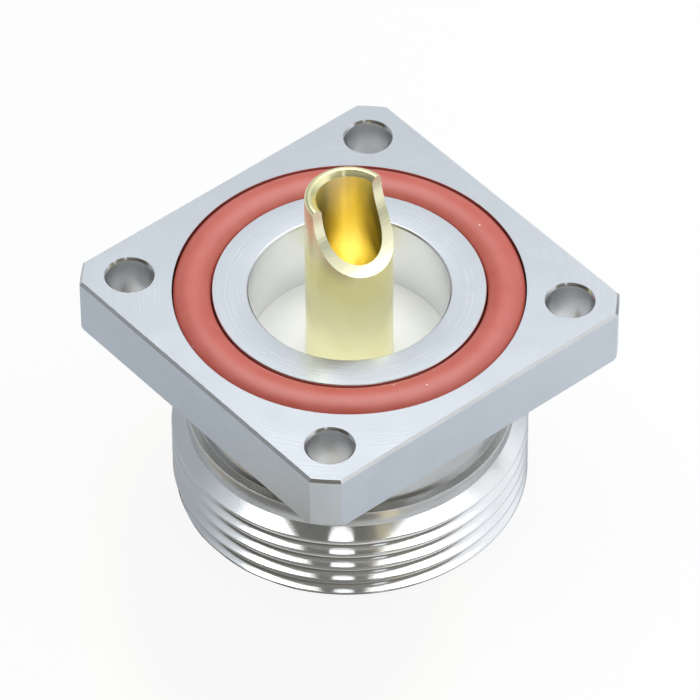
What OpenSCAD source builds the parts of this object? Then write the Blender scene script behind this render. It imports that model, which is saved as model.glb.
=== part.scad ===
// Coaxial jack with a square flange, a face seal and a rear solder cup.
// The axis is Z, the seal face of the flange is at Z = 0 and the solder cup points up.
// The mating end of the barrel, with the slotted socket, points down.

/* [Flange] */
// Side of the square flange
flange_w = 32; // [32:0.5:36]
// Flange thickness
flange_t = 5; // [4.5:0.25:6]
// Amount turned off each corner, along the diagonal
corner_trim = 1.2; // [0.8:0.05:1.6]
// Turned chamfer under the corners
corner_chamfer = 0.2; // [0.1:0.05:0.6]
// Chamfer along the edges of the seal face
face_chamfer = 0.22; // [0.1:0.02:0.4]
// Distance of the mounting holes from the flange sides
hole_inset = 3.6; // [3.3:0.1:3.8]
// Diameter of the mounting holes
hole_d = 3.6; // [3.2:0.1:4]
// Width of the edge break round each hole
hole_break = 0.22; // [0.1:0.01:0.3]

/* [Face seal] */
// Place of the sealing ring between the bore (0) and the mounting holes (1)
seal_ratio = 0.59; // [0.5:0.005:0.62]
// Width and height of the sealing ring's cord
seal_cord = 3; // [2.6:0.1:3.1]
// Radius of the cord's crowned top and underside
seal_crown = 2.4; // [2:0.1:3]
// Height of the sealing ring above the flange face
seal_proud = 0.55; // [0.3:0.05:0.7]
// Gap on either side of the ring in its groove
seal_gap = 0.1; // [0.05:0.01:0.15]
// Amount by which the cord is flattened on the groove floor
seal_squash = 0.05; // [0.02:0.01:0.1]

/* [Barrel] */
// Diameter of the smooth neck behind the thread
neck_d = 25; // [23:0.25:25.5]
// Length of the barrel below the flange, thread included
barrel_l = 15.6; // [15:0.2:20]
// Diameter of the thread relief
relief_d = 26.4; // [26:0.1:26.8]
// Length of the thread relief
relief_l = 1.1; // [1:0.1:1.8]
// Outside diameter of the thread
thread_d = 28.85; // [28.7:0.05:29]
// Length of the threaded end
thread_l = 7.5; // [7:0.25:9]
// Pitch of the thread
thread_pitch = 1.5; // [1.3:0.05:1.75]
// Depth of the thread
thread_depth = 0.85; // [0.6:0.05:0.95]
// Angle between the flanks of the thread
thread_angle = 60; // [50:1:66]
// Width of the thread's crests
thread_crest = 0.2; // [0.1:0.02:0.3]
// Distance from the relief to the middle of the first full groove
thread_start = 1.86; // [1.6:0.02:2.2]
// Slope of the upper end of the thread, from the horizontal
run_out_angle = 30; // [20:1:45]
// Chamfer at the mating end of the thread
front_chamfer = 0.6; // [0.3:0.1:1]

/* [Bore] */
// Diameter of the rear bore and of the bead in it
bore_d = 16; // [15.5:0.1:16.5]
// Edge break at the rear mouth of the bore
bore_break = 0.15; // [0.05:0.05:0.3]
// Depth of the bead's rear face below the flange face
bead_recess = 6.5; // [5.5:0.25:7]
// Diameter of the lip that stops the bead
lip_d = 15; // [14:0.1:15.2]
// Thickness of the lip
lip_t = 2.5; // [2:0.25:3]
// Diameter of the front bore that takes the mating sleeve
front_bore_d = 19; // [18.5:0.1:20]
// Depth of the front bore
front_depth = 5.6; // [5:0.2:6]
// Lead-in chamfer of the front bore
front_lead = 1.2; // [0.6:0.1:1.6]

/* [Contact] */
// Outside diameter of the solder cup and its stem
cup_d = 7; // [6:0.25:7.2]
// Wall of the solder cup
cup_wall = 0.9; // [0.8:0.05:1.05]
// Height of the solder cup above the flange face
cup_h = 10.1; // [9:0.1:14]
// Depth of the solder cup
cup_depth = 10.5; // [8:0.25:11.5]
// Edge break outside the cup's mouth
cup_break = 0.2; // [0.1:0.05:0.25]
// Lead-in chamfer inside the cup's mouth
cup_lead = 0.4; // [0.2:0.05:0.45]
// Diameter of the cutter that opens the side of the cup
scoop_d = 13; // [11:0.5:14]
// Distance the opening reaches behind the contact axis
scoop_past = 0.25; // [0:0.05:0.75]
// Diameter of the mating pin
pin_d = 7; // [6.8:0.05:7.1]
// Clearance of the mating pin in the socket, on diameter
pin_clearance = 0.05; // [0.02:0.01:0.1]
// Wall of the socket
socket_wall = 0.8; // [0.7:0.05:1.1]
// Distance of the socket's tip behind the mating end
socket_recess = 2; // [1.5:0.25:2.5]
// Solid web behind the pin hole
socket_web = 0.8; // [0.5:0.1:1.2]
// Chamfer at the socket's tip
socket_lead = 0.35; // [0.2:0.05:0.5]
// Number of slots in the socket
slot_count = 4; // [3:1:6]
// Width of the slots
slot_w = 0.5; // [0.3:0.05:0.8]
// Height of the holding ring over the stem, inside the bead
ring_rise = 0.5; // [0.3:0.05:0.7]
// Length of the holding ring
ring_l = 1.2; // [0.8:0.1:1.6]

/* [Hidden] */
$fn = 96;
cut = 1;
face_half = flange_w / 2;
corner_r = face_half * sqrt(2) - corner_trim;
hole_half = face_half - hole_inset;
bore_edge_r = bore_d / 2 + bore_break;
hole_edge_r = hole_half * sqrt(2) - hole_d / 2 - hole_break;
seal_mid_r = bore_edge_r + seal_ratio * (hole_edge_r - bore_edge_r);
groove_depth = seal_cord - seal_squash - seal_proud;
groove_in_r = seal_mid_r - seal_cord / 2 - seal_gap;
groove_out_r = seal_mid_r + seal_cord / 2 + seal_gap;
front_z = -flange_t - barrel_l;
relief_z = front_z + thread_l;
neck_z = relief_z + relief_l;
run_out_z = relief_z - (thread_d - relief_d) / 2 * tan(run_out_angle);
thread_mouth = thread_pitch - thread_crest;
thread_root = thread_mouth - 2 * thread_depth * tan(thread_angle / 2);
groove_z = relief_z - thread_start;
groove_count = 1 + floor((groove_z - front_z - thread_mouth / 2) / thread_pitch);
bead_top_z = -bead_recess;
lip_front_z = front_z + front_depth;
bead_low_z = lip_front_z + lip_t;
bead_mid_z = (bead_top_z + bead_low_z) / 2;
cup_bore_d = cup_d - 2 * cup_wall;
cup_floor_z = cup_h - cup_depth;
scoop_r = scoop_d / 2;
scoop_y = scoop_past - scoop_r;
socket_bore_d = pin_d + pin_clearance;
socket_d = socket_bore_d + 2 * socket_wall;
socket_tip_z = front_z + socket_recess;
pin_floor_z = bead_low_z - socket_web;
ring_d = cup_d + 2 * ring_rise;

module flange_slab() {
  rotate([90, 0, 0])
    linear_extrude(flange_w, center = true)
      polygon([
        [-face_half, -flange_t],
        [face_half, -flange_t],
        [face_half, -face_chamfer],
        [face_half - face_chamfer, 0],
        [face_chamfer - face_half, 0],
        [-face_half, -face_chamfer]
      ]);
}

module corner_turning() {
  rotate_extrude()
    polygon([
      [0, -flange_t],
      [corner_r - corner_chamfer, -flange_t],
      [corner_r, corner_chamfer - flange_t],
      [corner_r, -face_chamfer],
      [corner_r - face_chamfer, 0],
      [0, 0]
    ]);
}

module flange_blank() {
  intersection() {
    flange_slab();
    rotate([0, 0, 90]) flange_slab();
    corner_turning();
  }
}

module barrel_blank() {
  rotate_extrude()
    polygon([
      [0, -flange_t / 2],
      [neck_d / 2, -flange_t / 2],
      [neck_d / 2, neck_z],
      [relief_d / 2, neck_z],
      [relief_d / 2, relief_z],
      [thread_d / 2, run_out_z],
      [thread_d / 2, front_z + front_chamfer],
      [thread_d / 2 - front_chamfer, front_z],
      [0, front_z]
    ]);
}

// The turns of the thread are drawn as rings, one groove for each pitch.
module thread_groove() {
  mouth = thread_mouth / 2 + cut * tan(thread_angle / 2);
  rotate_extrude()
    polygon([
      [thread_d / 2 - thread_depth, -thread_root / 2],
      [thread_d / 2 + cut, -mouth],
      [thread_d / 2 + cut, mouth],
      [thread_d / 2 - thread_depth, thread_root / 2]
    ]);
}

module through_bore() {
  rotate_extrude()
    polygon([
      [0, cut],
      [bore_edge_r, cut],
      [bore_edge_r, 0],
      [bore_d / 2, -bore_break],
      [bore_d / 2, bead_low_z],
      [lip_d / 2, bead_low_z],
      [lip_d / 2, lip_front_z],
      [front_bore_d / 2, lip_front_z],
      [front_bore_d / 2, front_z + front_lead],
      [front_bore_d / 2 + front_lead, front_z],
      [front_bore_d / 2 + front_lead, front_z - cut],
      [0, front_z - cut]
    ]);
}

module seal_groove() {
  rotate_extrude()
    translate([groove_in_r, -groove_depth])
      square([groove_out_r - groove_in_r, groove_depth + cut]);
}

module mounting_hole() {
  translate([0, 0, -flange_t - cut])
    cylinder(d = hole_d, h = flange_t + 2 * cut);
  translate([0, 0, -hole_break])
    cylinder(d1 = hole_d, d2 = hole_d + 2 * (hole_break + cut), h = hole_break + cut);
}

module body() {
  color("silver")
    difference() {
      union() {
        flange_blank();
        barrel_blank();
      }
      for (i = [0 : groove_count - 1])
        translate([0, 0, groove_z - i * thread_pitch])
          thread_groove();
      through_bore();
      seal_groove();
      for (x = [-1, 1], y = [-1, 1])
        translate([x * hole_half, y * hole_half, 0])
          mounting_hole();
    }
}

module seal_section() {
  intersection() {
    translate([seal_mid_r - seal_cord / 2, -groove_depth])
      square([seal_cord, groove_depth + seal_proud + cut]);
    translate([seal_mid_r, seal_proud - seal_crown])
      circle(r = seal_crown);
    translate([seal_mid_r, seal_proud - seal_cord + seal_crown])
      circle(r = seal_crown);
  }
}

module flange_gasket() {
  color("indianred")
    rotate_extrude()
      seal_section();
}

module insulator() {
  color("whitesmoke")
    difference() {
      translate([0, 0, bead_low_z])
        cylinder(d = bore_d, h = bead_top_z - bead_low_z);
      translate([0, 0, bead_low_z - cut])
        cylinder(d = cup_d, h = bead_top_z - bead_low_z + 2 * cut);
      translate([0, 0, bead_mid_z - ring_l / 2])
        cylinder(d = ring_d, h = ring_l);
    }
}

module socket_slots() {
  for (i = [0 : slot_count - 1])
    rotate([0, 0, (i + 0.5) * 360 / slot_count])
      translate([0, -slot_w / 2, socket_tip_z - cut])
        cube([socket_d, slot_w, pin_floor_z - socket_tip_z + cut]);
}

module cup_scoop() {
  translate([0, scoop_y, cup_h])
    rotate([0, 90, 0])
      cylinder(r = scoop_r, h = cup_d + 2 * cut, center = true);
}

module contact_blank() {
  rotate_extrude()
    polygon([
      [0, socket_tip_z],
      [socket_d / 2 - socket_lead, socket_tip_z],
      [socket_d / 2, socket_tip_z + socket_lead],
      [socket_d / 2, bead_low_z],
      [cup_d / 2, bead_low_z],
      [cup_d / 2, bead_mid_z - ring_l / 2],
      [ring_d / 2, bead_mid_z - ring_l / 2],
      [ring_d / 2, bead_mid_z + ring_l / 2],
      [cup_d / 2, bead_mid_z + ring_l / 2],
      [cup_d / 2, cup_h - cup_break],
      [cup_d / 2 - cup_break, cup_h],
      [0, cup_h]
    ]);
}

module cup_bore() {
  rotate_extrude()
    polygon([
      [0, cup_floor_z],
      [cup_bore_d / 2, cup_floor_z],
      [cup_bore_d / 2, cup_h - cup_lead],
      [cup_bore_d / 2 + cup_lead + cut, cup_h + cut],
      [0, cup_h + cut]
    ]);
}

module pin_bore() {
  rotate_extrude()
    polygon([
      [0, socket_tip_z - cut],
      [socket_bore_d / 2 + socket_lead + cut, socket_tip_z - cut],
      [socket_bore_d / 2, socket_tip_z + socket_lead],
      [socket_bore_d / 2, pin_floor_z],
      [0, pin_floor_z]
    ]);
}

module centre_contact() {
  color("goldenrod")
    difference() {
      contact_blank();
      cup_bore();
      cup_scoop();
      pin_bore();
      socket_slots();
    }
}

body();
flange_gasket();
insulator();
centre_contact();
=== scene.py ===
"""Looks of a panel-mount coaxial jack: square flange, ring seal, bead, solder cup and coupling thread.

Sizes are in millimetres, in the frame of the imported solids; a mesh is scaled to metres when it is made.
The lamp and the ground are given in metres.
"""

import logging
import math
from dataclasses import dataclass
from enum import Enum, IntEnum
from typing import Any, Callable, Sequence

import bmesh
import bpy
from mathutils import Matrix, Vector
from mathutils.geometry import delaunay_2d_cdt


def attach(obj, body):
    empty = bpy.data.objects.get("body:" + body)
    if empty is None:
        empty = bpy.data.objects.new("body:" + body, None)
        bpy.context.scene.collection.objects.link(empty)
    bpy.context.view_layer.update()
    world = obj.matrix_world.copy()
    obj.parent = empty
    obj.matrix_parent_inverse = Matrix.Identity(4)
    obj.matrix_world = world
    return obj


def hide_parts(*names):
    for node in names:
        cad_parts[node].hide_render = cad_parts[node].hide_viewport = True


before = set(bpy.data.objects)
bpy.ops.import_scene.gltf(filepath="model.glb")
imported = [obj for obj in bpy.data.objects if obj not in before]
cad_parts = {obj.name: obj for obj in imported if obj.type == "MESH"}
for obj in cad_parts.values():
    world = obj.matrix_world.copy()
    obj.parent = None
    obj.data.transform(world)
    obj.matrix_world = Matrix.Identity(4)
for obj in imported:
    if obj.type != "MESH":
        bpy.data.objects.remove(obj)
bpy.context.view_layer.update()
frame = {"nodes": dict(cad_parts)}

Colour = tuple[float, float, float]
Way = tuple[float, float, float]
Span = tuple[float, float]
Loop = list[int]

LOG = logging.getLogger("coaxial_jack")
MM = 0.001
TURN = 2.0 * math.pi
WHITE: Colour = (1.0, 1.0, 1.0)
# Points closer than this are one point, in millimetres
MERGE = 0.0004
# An edge shorter than this is dropped, in millimetres
SLIVER = 0.0002
# A face no further than this below the flange face belongs to it, in millimetres
HAIR = 0.001
# Two faces that meet at this angle or more keep a crisp edge, in degrees
CRISP = 28.0
# Largest share of a profile's side that the easing of one corner takes up
EASE_SHARE = 0.45
# Turn of a stretched highlight that lays it across the tool marks
ACROSS = 0.25
# Way across the marks down a hole, in X and Y
REAMED_WAY = (0.6, 0.8)
# Share of Z and of -Y in the way across the marks of the scoop
SCOOPED_SLANT = 0.7


class Lay(Enum):
    """The way that the marks of a tool run over a surface."""

    FACED = "rings on a flat face"
    TURNED = "rings round the axis"
    MILLED = "lines along a flange side"
    SCOOPED = "lines along the cutter of the solder cup"
    REAMED = "lines down a hole"


class Field:
    """A socket that can be used in Python expressions."""

    def __init__(self, sheet: "Sheet", socket: bpy.types.NodeSocket) -> None:
        """Keeps the socket and the sheet that its node lies on."""
        self.sheet = sheet
        self.socket = socket

    def other(self, name: str | int) -> "Field":
        """Another output of the same node."""
        return Field(self.sheet, self.socket.node.outputs[name])

    def _math(self, operation: str, *values: "Field | float", clamp: bool = False) -> "Field":
        """Adds one Math node.

        Args:
            operation: The node's operation.
            values: What goes into its sockets, in order.
            clamp: Whether the result is kept between 0 and 1.

        Returns:
            The node's value.
        """
        settings = {"operation": operation, "use_clamp": clamp}
        return self.sheet.node("ShaderNodeMath", settings, dict(enumerate(values)))

    def __add__(self, other: "Field | float") -> "Field":
        """self + other."""
        return self._math("ADD", self, other)

    def __radd__(self, other: float) -> "Field":
        """other + self."""
        return self._math("ADD", other, self)

    def __sub__(self, other: "Field | float") -> "Field":
        """self - other."""
        return self._math("SUBTRACT", self, other)

    def __rsub__(self, other: float) -> "Field":
        """other - self."""
        return self._math("SUBTRACT", other, self)

    def __mul__(self, other: "Field | float") -> "Field":
        """self * other."""
        return self._math("MULTIPLY", self, other)

    def __rmul__(self, other: float) -> "Field":
        """other * self."""
        return self._math("MULTIPLY", other, self)

    def __truediv__(self, other: "Field | float") -> "Field":
        """self / other."""
        return self._math("DIVIDE", self, other)

    def __rtruediv__(self, other: float) -> "Field":
        """other / self."""
        return self._math("DIVIDE", other, self)

    def __lt__(self, other: "Field | float") -> "Field":
        """1 where self < other, else 0."""
        return self._math("LESS_THAN", self, other)

    def __gt__(self, other: "Field | float") -> "Field":
        """1 where self > other, else 0."""
        return self._math("GREATER_THAN", self, other)

    def __abs__(self) -> "Field":
        """The value without its sign."""
        return self._math("ABSOLUTE", self)

    def sqrt(self) -> "Field":
        """Square root."""
        return self._math("SQRT", self)

    def sin(self) -> "Field":
        """Sine."""
        return self._math("SINE", self)

    def cos(self) -> "Field":
        """Cosine."""
        return self._math("COSINE", self)

    def tan(self) -> "Field":
        """Tangent."""
        return self._math("TANGENT", self)

    def least(self, other: "Field | float") -> "Field":
        """The smaller of two values."""
        return self._math("MINIMUM", self, other)

    def eased_least(self, other: "Field | float", ease: "Field | float") -> "Field":
        """The smaller of two values, with the change from one to the other eased over a distance."""
        return self._math("SMOOTH_MIN", self, other, ease)

    def most(self, other: "Field | float") -> "Field":
        """The larger of two values."""
        return self._math("MAXIMUM", self, other)

    def ramp(self, low: float, high: float) -> "Field":
        """0 at low, 1 at high, straight between them and clamped outside."""
        return self._math("MULTIPLY_ADD", self, 1.0 / (high - low), -low / (high - low), clamp=True)


class Sheet:
    """Lays nodes in one node tree."""

    def __init__(self, tree: bpy.types.NodeTree) -> None:
        """Starts on an empty tree."""
        self.tree = tree
        tree.nodes.clear()

    def node(
        self,
        kind: str,
        settings: dict[str, Any] | None = None,
        inputs: dict[str | int, Any] | None = None,
        out: str | int = 0,
    ) -> Field:
        """Adds any node.

        Args:
            kind: The node's type.
            settings: Its properties, set first.
            inputs: Values, links or lists of links for its sockets.
            out: The output to return.

        Returns:
            One output of the node.
        """
        node = self.tree.nodes.new(kind)
        for name, value in (settings or {}).items():
            setattr(node, name, value)
        for key, value in (inputs or {}).items():
            for item in value if isinstance(value, list) else [value]:
                if isinstance(item, Field):
                    self.tree.links.new(item.socket, node.inputs[key])
                else:
                    node.inputs[key].default_value = item
        return Field(self, node.outputs[out] if node.outputs else None)

    def vector(self, axes: dict[int, Field]) -> Field:
        """A vector from its values on X, Y and Z, numbered from 0; one that is left out is 0."""
        return self.node("ShaderNodeCombineXYZ", {}, axes)

    def along(self, vector: Field, way: Way) -> Field:
        """How far a vector reaches along a way."""
        return self.node("ShaderNodeVectorMath", {"operation": "DOT_PRODUCT"}, {0: vector, 1: way}, 1)

    def mix(self, factor: Field | float, low: Field | Colour, high: Field | Colour) -> Field:
        """A colour between two others."""
        ends = [item if isinstance(item, Field) else (*item, 1.0) for item in (low, high)]
        return self.node("ShaderNodeMix", {"data_type": "RGBA"}, {0: factor, 6: ends[0], 7: ends[1]}, 2)

    def noise(self, vector: Field, scale: float, detail: float) -> Field:
        """Cloudy noise over a vector, about 0 to 1."""
        return self.node("ShaderNodeTexNoise", {}, {"Vector": vector, "Scale": scale, "Detail": detail})

    def grain(self, value: Field, scale: float, detail: float) -> Field:
        """Noise along one value, about 0 to 1."""
        settings = {"noise_dimensions": "1D"}
        return self.node("ShaderNodeTexNoise", settings, {"W": value, "Scale": scale, "Detail": detail})

    def bump(self, height: Field, depth_mm: float, strength: float = 1.0) -> Field:
        """A normal from a height that is counted in depths."""
        inputs = {"Height": height, "Distance": depth_mm * MM, "Strength": strength}
        return self.node("ShaderNodeBump", {}, inputs)

    def rays(self) -> tuple[Field, Field]:
        """1 for rays from the camera, and 1 for those that a glossy or clear surface sends on."""
        camera = self.node("ShaderNodeLightPath", {}, {}, "Is Camera Ray")
        return camera, camera.other("Is Glossy Ray").most(camera.other("Is Transmission Ray"))


class Dress(Sheet):
    """The node tree of one material, with the piece's own coordinates in millimetres."""

    def __init__(self, name: str) -> None:
        """Makes the material and its coordinates.

        Args:
            name: The material's name.
        """
        self.material = bpy.data.materials.new(name)
        self.material.use_nodes = True
        super().__init__(self.material.node_tree)
        place = self.node("ShaderNodeTexCoord", {}, {}, "Object")
        self.place = self.node("ShaderNodeVectorMath", {"operation": "SCALE"}, {0: place, "Scale": 1.0 / MM})
        axes = self.node("ShaderNodeSeparateXYZ", {}, {0: self.place})
        self.x, self.y, self.z = axes, axes.other(1), axes.other(2)
        self.radius = (self.x * self.x + self.y * self.y).sqrt()

    def surface(self, **sockets: Any) -> bpy.types.Material:
        """Ends the tree in a Principled shader.

        Args:
            sockets: Its inputs, with underscores for the spaces in their names.

        Returns:
            The finished material.
        """
        inputs = {name.replace("_", " "): value for name, value in sockets.items()}
        shader = self.node("ShaderNodeBsdfPrincipled", {}, inputs)
        self.node("ShaderNodeOutputMaterial", {}, {"Surface": shader})
        return self.material


@dataclass(frozen=True)
class Plating:
    """A metal plating with the marks that a tool left in it.

    The stain lies in patches, along the marks and in specks. A gloss is how far the roughness changes.
    """

    name: str
    colour: Colour
    stain: Colour
    roughness: float
    lay: Lay
    pitch: float
    depth: float
    lean: float = 0.0
    stretch: float = 0.0
    patch_scale: float = 0.35
    patch_span: Span = (0.35, 0.7)
    patch_share: float = 0.6
    patch_gloss: float = 0.10
    slow_marks: float = 0.5
    fine_marks: float = 2.5
    mark_wander: float = 5.0
    mark_span: Span = (0.35, 0.65)
    mark_share: float = 0.25
    mark_gloss: float = 0.12
    speck_scale: float = 9.0
    speck_span: Span = (0.5, 0.8)
    speck_share: float = 0.15
    ridge_share: float = 0.6
    least_rough: float = 0.03

    def _run(self, dress: Dress) -> Field:
        """Measures across the tool marks.

        Args:
            dress: The tree of the material.

        Returns:
            The distance across the marks, in millimetres.
        """
        if self.lay is Lay.FACED:
            return dress.radius
        if self.lay is Lay.TURNED:
            return dress.radius + dress.z
        if self.lay is Lay.MILLED:
            return dress.z
        if self.lay is Lay.REAMED:
            return dress.x * REAMED_WAY[0] + dress.y * REAMED_WAY[1]
        return dress.z * SCOOPED_SLANT - dress.y * SCOOPED_SLANT

    def material(self) -> bpy.types.Material:
        """Builds the material.

        Returns:
            A metal whose colour, roughness and relief follow the marks.
        """
        dress = Dress(self.name)
        run = self._run(dress)
        slow = dress.grain(run, self.slow_marks / self.pitch, detail=3.0)
        ridge = (run * (TURN / self.pitch) + slow * self.mark_wander).sin() * 0.5
        fine = dress.grain(run, self.fine_marks / self.pitch, detail=2.0)
        cloud = dress.noise(dress.place, self.patch_scale, detail=4.0)
        speck = dress.noise(dress.place, self.speck_scale, detail=2.0)
        patched = cloud.ramp(*self.patch_span) * self.patch_share
        marked = slow.ramp(*self.mark_span) * self.mark_share
        specked = speck.ramp(*self.speck_span) * self.speck_share
        rough = self.roughness + self.patch_gloss * (cloud - 0.5) + self.mark_gloss * (fine - 0.5)
        relief = ridge * self.ridge_share + fine * (1.0 - self.ridge_share)
        return dress.surface(
            Base_Color=dress.mix(patched + marked + specked, self.colour, self.stain),
            Metallic=1.0,
            Roughness=rough.most(self.least_rough),
            Anisotropic=self.stretch,
            Anisotropic_Rotation=ACROSS,
            Normal=dress.bump(relief * self.depth - run * self.lean, 1.0),
        )


@dataclass(frozen=True)
class DrilledGold:
    """Gold in a drilled hole: satin, with highlights drawn out along the hole."""

    name: str = "drilled_gold"
    colour: Colour = (1.0, 0.895, 0.43)
    deep: Colour = (1.0, 0.865, 0.36)
    roughness: float = 0.26
    stretch: float = 0.9
    ring_scale: float = 5.0
    ring_share: float = 0.3
    ring_gloss: float = 0.04
    cloud_scale: float = 0.8
    span: Span = (0.3, 0.7)
    dents: float = 0.002

    def material(self) -> bpy.types.Material:
        """Builds the material.

        Returns:
            A satin metal with faint rings round the axis.
        """
        dress = Dress(self.name)
        rings = dress.grain(dress.z, self.ring_scale, detail=3.0)
        cloud = dress.noise(dress.place, self.cloud_scale, detail=3.0)
        tint = rings.ramp(*self.span) * self.ring_share + cloud.ramp(*self.span) * (1.0 - self.ring_share)
        return dress.surface(
            Base_Color=dress.mix(tint, self.colour, self.deep),
            Metallic=1.0,
            Roughness=self.roughness + self.ring_gloss * (rings - 0.5),
            Anisotropic=self.stretch,
            Anisotropic_Rotation=ACROSS,
            Normal=dress.bump(cloud, self.dents),
        )


@dataclass(frozen=True)
class Silicone:
    """Matt brick-red silicone rubber with a little bloom and dust."""

    name: str = "brick_red_silicone"
    deep: Colour = (0.50, 0.085, 0.055)
    bloom: Colour = (0.55, 0.13, 0.10)
    dust: Colour = (0.86, 0.76, 0.72)
    roughness: float = 0.42
    shine: float = 0.85
    cloud_scale: float = 0.5
    cloud_span: Span = (0.3, 0.7)
    cloud_share: float = 0.6
    cloud_gloss: float = 0.1
    grain_scale: float = 14.0
    grain_span: Span = (0.4, 0.7)
    grain_gloss: float = 0.2
    grain_relief: float = 0.7
    relief: float = 0.02
    relief_strength: float = 0.5
    dust_scale: float = 0.55
    dust_size: float = 0.045
    dust_gap: float = 0.45
    dust_cover: float = 0.8

    def material(self) -> bpy.types.Material:
        """Builds the material.

        Returns:
            A matt rubber with soft patches, fine grain and a few pale specks.
        """
        dress = Dress(self.name)
        cloud = dress.noise(dress.place, self.cloud_scale, detail=4.0)
        grain = dress.noise(dress.place, self.grain_scale, detail=3.0)
        spread = {"Vector": dress.place, "Scale": self.dust_scale, "Randomness": 1.0}
        cell = dress.node("ShaderNodeTexVoronoi", {}, spread)
        chance = dress.node("ShaderNodeSeparateColor", {}, {0: cell.other("Color")})
        specks = (cell < self.dust_size) * (chance > self.dust_gap)
        clouded = cloud.ramp(*self.cloud_span) * self.cloud_share
        grained = grain.ramp(*self.grain_span) * (1.0 - self.cloud_share)
        rubber = dress.mix(clouded + grained, self.deep, self.bloom)
        height = grain * self.grain_relief + cloud * (1.0 - self.grain_relief)
        return dress.surface(
            Base_Color=dress.mix(specks * self.dust_cover, rubber, self.dust),
            Roughness=self.roughness + self.grain_gloss * (grain - 0.5) + self.cloud_gloss * (cloud - 0.5),
            Specular_IOR_Level=self.shine,
            Normal=dress.bump(height, self.relief, self.relief_strength),
        )


@dataclass(frozen=True)
class Fluoropolymer:
    """White waxy fluoropolymer, turned from rod."""

    name: str = "white_fluoropolymer"
    pale: Colour = (0.98, 0.99, 1.0)
    shade: Colour = (0.955, 0.975, 1.0)
    roughness: float = 0.38
    cloud_scale: float = 0.45
    cloud_span: Span = (0.3, 0.7)
    cloud_share: float = 0.7
    ring_scale: float = 9.0
    ring_gloss: float = 0.15
    relief: float = 0.006
    relief_strength: float = 0.6

    def material(self) -> bpy.types.Material:
        """Builds the material.

        Returns:
            A waxy white plastic with faint rings from the lathe.
        """
        dress = Dress(self.name)
        rings = dress.grain(dress.radius + dress.z, self.ring_scale, detail=2.0)
        cloud = dress.noise(dress.place, self.cloud_scale, detail=3.0)
        tint = cloud.ramp(*self.cloud_span) * self.cloud_share + rings * (1.0 - self.cloud_share)
        return dress.surface(
            Base_Color=dress.mix(tint, self.pale, self.shade),
            Roughness=self.roughness + self.ring_gloss * (rings - 0.5),
            Normal=dress.bump(rings, self.relief, self.relief_strength),
        )


@dataclass
class Corner:
    """A corner of a turned profile, with the distance from it at which its easing starts."""

    r: float
    z: float
    ease: float = 0.0


def eased(corners: Sequence[Corner], steps: int = 4) -> list[tuple[float, float]]:
    """Rounds the corners of an open profile.

    Args:
        corners: The corners in order.
        steps: Pieces in each rounded edge.

    Returns:
        Points of radius and height.
    """
    points: list[tuple[float, float]] = []
    for i, corner in enumerate(corners):
        here = Vector((corner.r, corner.z))
        if corner.ease <= 0.0 or i in (0, len(corners) - 1):
            points.append((corner.r, corner.z))
            continue
        before = Vector((corners[i - 1].r, corners[i - 1].z)) - here
        after = Vector((corners[i + 1].r, corners[i + 1].z)) - here
        start = here + before.normalized() * min(corner.ease, EASE_SHARE * before.length)
        end = here + after.normalized() * min(corner.ease, EASE_SHARE * after.length)
        for k in range(steps + 1):
            t = k / steps
            p = start * (1 - t) ** 2 + here * 2 * t * (1 - t) + end * t ** 2
            points.append((p.x, p.y))
    return points


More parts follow.
